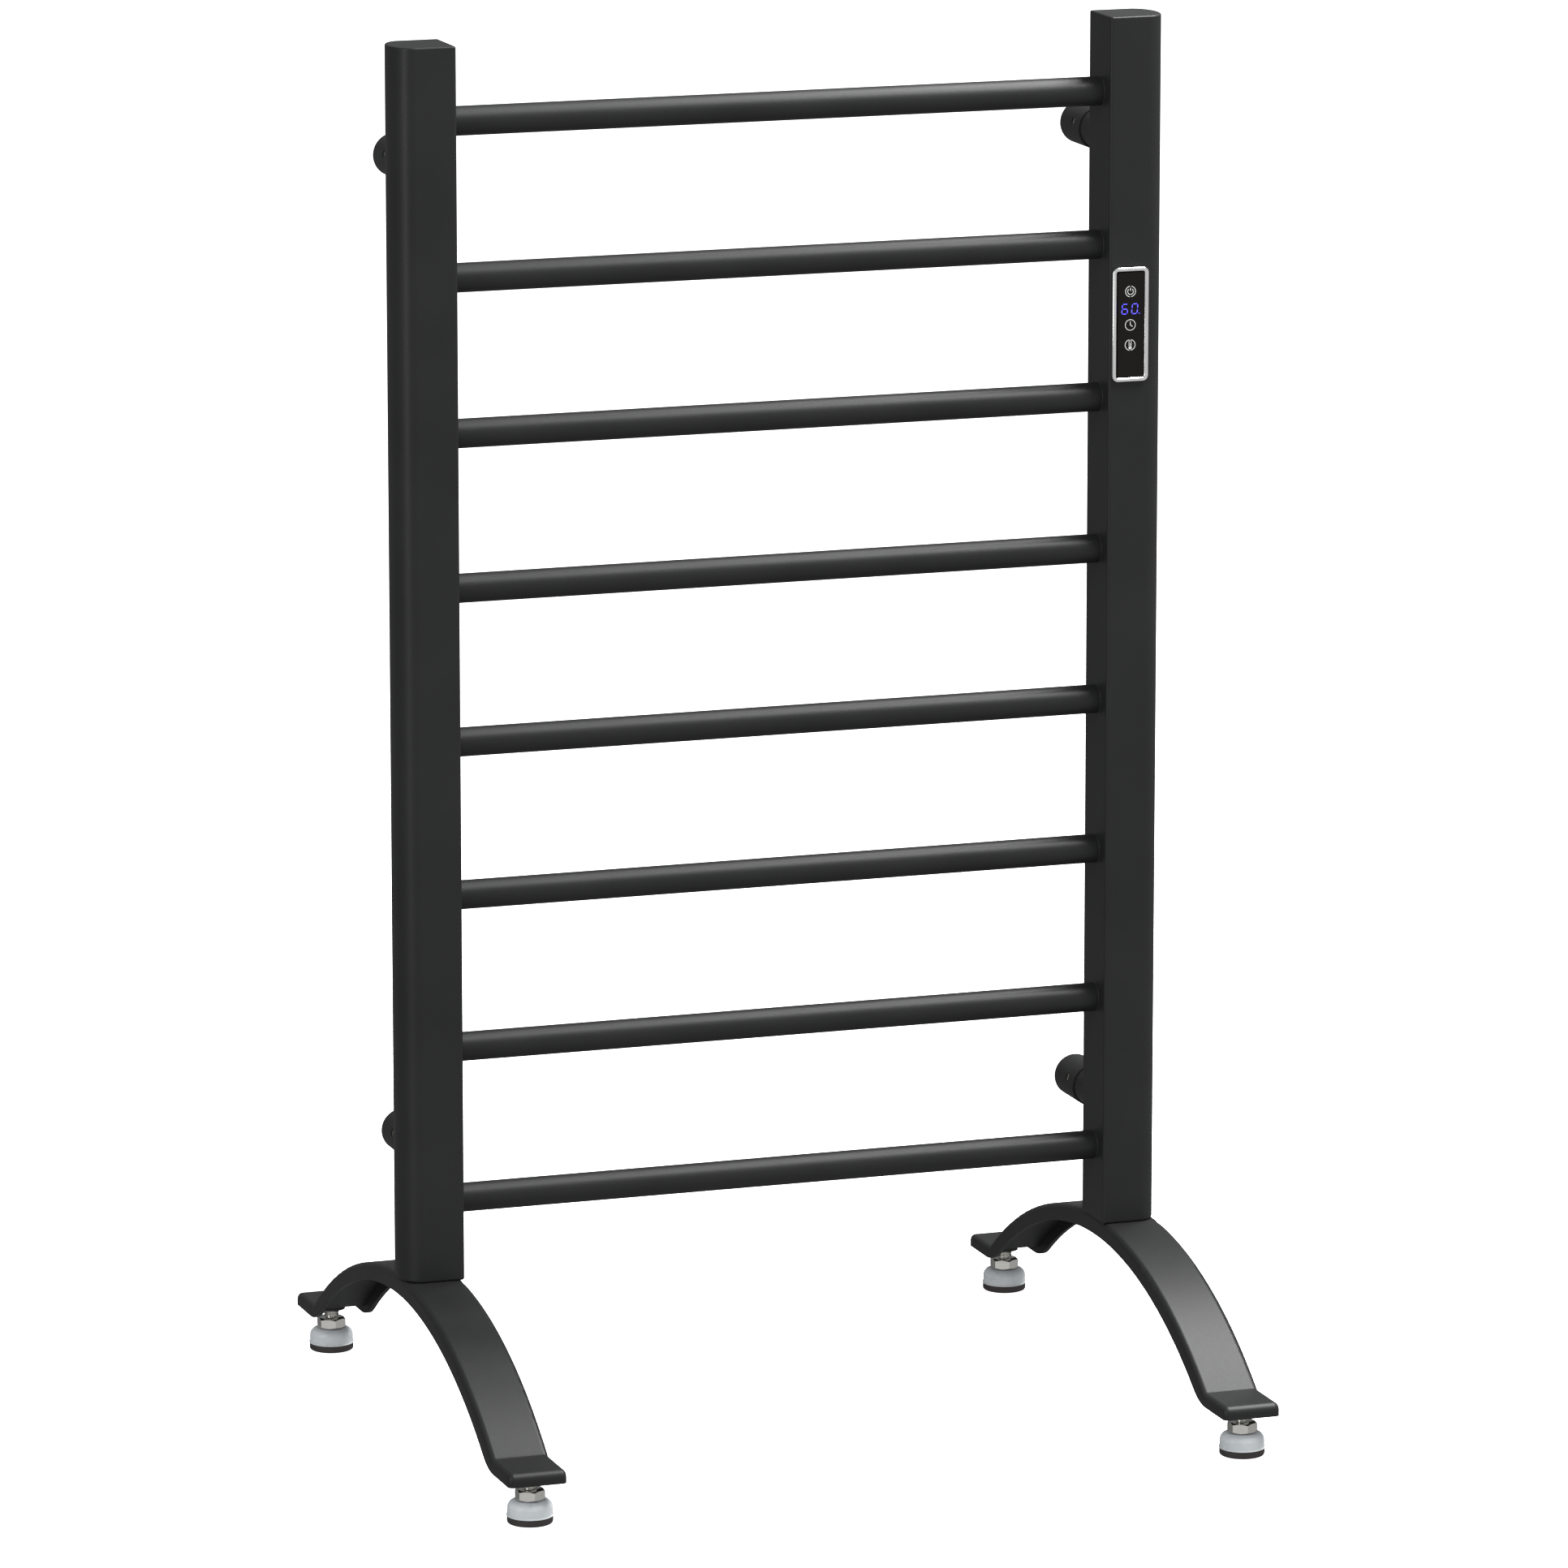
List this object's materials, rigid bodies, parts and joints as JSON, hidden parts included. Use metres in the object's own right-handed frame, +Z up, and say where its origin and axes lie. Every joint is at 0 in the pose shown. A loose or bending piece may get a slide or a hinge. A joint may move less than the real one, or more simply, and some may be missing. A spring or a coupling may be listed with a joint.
{
  "type": "towel warmer rack",
  "caption": "Free-standing electric ladder towel warmer with round rungs between two D-profile posts, a touch panel, arched legs on levelling feet and rear wall standoffs.",
  "frame": {"origin": "on the floor, in the middle of the rack's footprint", "axes": "+Z up, -Y towards the front with the touch panel, +X towards the viewer's right"},
  "size_m": [0.52, 0.476, 0.905],
  "materials": {
    "black_powder_coat": "satin black fine-textured powder coat",
    "zinc_steel": "zinc plated",
    "bright_steel": "bright nickel plate",
    "black_rubber": "matt",
    "dark_rubber": "matt",
    "chrome_trim": "polished",
    "black_glass": "gloss black",
    "black_plastic": "moulded",
    "white_plastic": "moulded",
    "frosted_plastic": "frosted, slightly translucent",
    "circuit_board": "solder mask",
    "display_light": "lit blue-violet segments",
    "cable_silicone": "smooth silicone"
  },
  "bodies": {
    "rack": {"left_post": "black_powder_coat", "left_post_cap": "black_powder_coat", "left_post_base": "black_powder_coat", "left_leg": "black_powder_coat", "right_post": "black_powder_coat", "right_post_cap": "black_powder_coat", "right_post_base": "black_powder_coat", "right_leg": "black_powder_coat", "rung_1": "black_powder_coat", "rung_2": "black_powder_coat", "rung_3": "black_powder_coat", "rung_4": "black_powder_coat", "rung_5": "black_powder_coat", "rung_6": "black_powder_coat", "rung_7": "black_powder_coat", "rung_8": "black_powder_coat", "leg_bolts": "zinc_steel", "panel_gasket": "black_rubber", "panel_bezel": "chrome_trim", "panel_glass": "black_glass", "control_housing": "black_plastic", "touch_board": "circuit_board", "display_module": "display_light", "key_springs": "zinc_steel", "heating_cable": "cable_silicone", "lower_lead": "cable_silicone", "upper_lead": "cable_silicone", "terminal_block": "white_plastic", "thermal_cutout": "zinc_steel", "control_wires": "cable_silicone", "cord_gland": "black_plastic", "gland_nut": "black_plastic", "standoff_spigot_lower_left": "black_powder_coat", "standoff_spigot_upper_left": "black_powder_coat", "standoff_spigot_lower_right": "black_powder_coat", "standoff_spigot_upper_right": "black_powder_coat"},
    "sleeve_lower_left": {"standoff_sleeve_lower_left": "black_powder_coat", "grub_screw_lower_left": "bright_steel"},
    "sleeve_upper_left": {"standoff_sleeve_upper_left": "black_powder_coat", "grub_screw_upper_left": "bright_steel"},
    "foot_front_left": {"foot_pad_front_left": "frosted_plastic", "foot_sole_front_left": "dark_rubber"},
    "stud_front_left": {"foot_stud_front_left": "bright_steel"},
    "foot_rear_left": {"foot_pad_rear_left": "frosted_plastic", "foot_sole_rear_left": "dark_rubber"},
    "stud_rear_left": {"foot_stud_rear_left": "bright_steel"},
    "sleeve_lower_right": {"standoff_sleeve_lower_right": "black_powder_coat", "grub_screw_lower_right": "bright_steel"},
    "sleeve_upper_right": {"standoff_sleeve_upper_right": "black_powder_coat", "grub_screw_upper_right": "bright_steel"},
    "foot_front_right": {"foot_pad_front_right": "frosted_plastic", "foot_sole_front_right": "dark_rubber"},
    "stud_front_right": {"foot_stud_front_right": "bright_steel"},
    "foot_rear_right": {"foot_pad_rear_right": "frosted_plastic", "foot_sole_rear_right": "dark_rubber"},
    "stud_rear_right": {"foot_stud_rear_right": "bright_steel"}
  },
  "joints": [
    {"name": "sleeve_lower_left_slide", "type": "slide", "parent": "rack", "child": "sleeve_lower_left", "axis": [0, 1, 0], "range_m": [0, 0.008]},
    {"name": "sleeve_upper_left_slide", "type": "slide", "parent": "rack", "child": "sleeve_upper_left", "axis": [0, 1, 0], "range_m": [0, 0.008]},
    {"name": "foot_front_left_level", "type": "slide", "parent": "rack", "child": "foot_front_left", "axis": [0, 0, -1], "range_m": [0, 0.003]},
    {"name": "stud_front_left_turn", "type": "hinge", "parent": "foot_front_left", "child": "stud_front_left", "pos_m": [-0.24, -0.22, 0.018], "axis": [0, 0, -1], "range_deg": [0, 720]},
    {"name": "foot_rear_left_level", "type": "slide", "parent": "rack", "child": "foot_rear_left", "axis": [0, 0, -1], "range_m": [0, 0.003]},
    {"name": "stud_rear_left_turn", "type": "hinge", "parent": "foot_rear_left", "child": "stud_rear_left", "pos_m": [-0.24, 0.22, 0.018], "axis": [0, 0, -1], "range_deg": [0, 720]},
    {"name": "sleeve_lower_right_slide", "type": "slide", "parent": "rack", "child": "sleeve_lower_right", "axis": [0, 1, 0], "range_m": [0, 0.008]},
    {"name": "sleeve_upper_right_slide", "type": "slide", "parent": "rack", "child": "sleeve_upper_right", "axis": [0, 1, 0], "range_m": [0, 0.008]},
    {"name": "foot_front_right_level", "type": "slide", "parent": "rack", "child": "foot_front_right", "axis": [0, 0, -1], "range_m": [0, 0.003]},
    {"name": "stud_front_right_turn", "type": "hinge", "parent": "foot_front_right", "child": "stud_front_right", "pos_m": [0.24, -0.22, 0.018], "axis": [0, 0, -1], "range_deg": [0, 720]},
    {"name": "foot_rear_right_level", "type": "slide", "parent": "rack", "child": "foot_rear_right", "axis": [0, 0, -1], "range_m": [0, 0.003]},
    {"name": "stud_rear_right_turn", "type": "hinge", "parent": "foot_rear_right", "child": "stud_rear_right", "pos_m": [0.24, 0.22, 0.018], "axis": [0, 0, -1], "range_deg": [0, 720]}
  ],
  "couplings": [
    {"joint": "stud_front_left_turn", "follows": "foot_front_left_level", "rad_per_m": 4188.8},
    {"joint": "stud_rear_left_turn", "follows": "foot_rear_left_level", "rad_per_m": 4188.8},
    {"joint": "stud_front_right_turn", "follows": "foot_front_right_level", "rad_per_m": 4188.8},
    {"joint": "stud_rear_right_turn", "follows": "foot_rear_right_level", "rad_per_m": 4188.8}
  ]
}
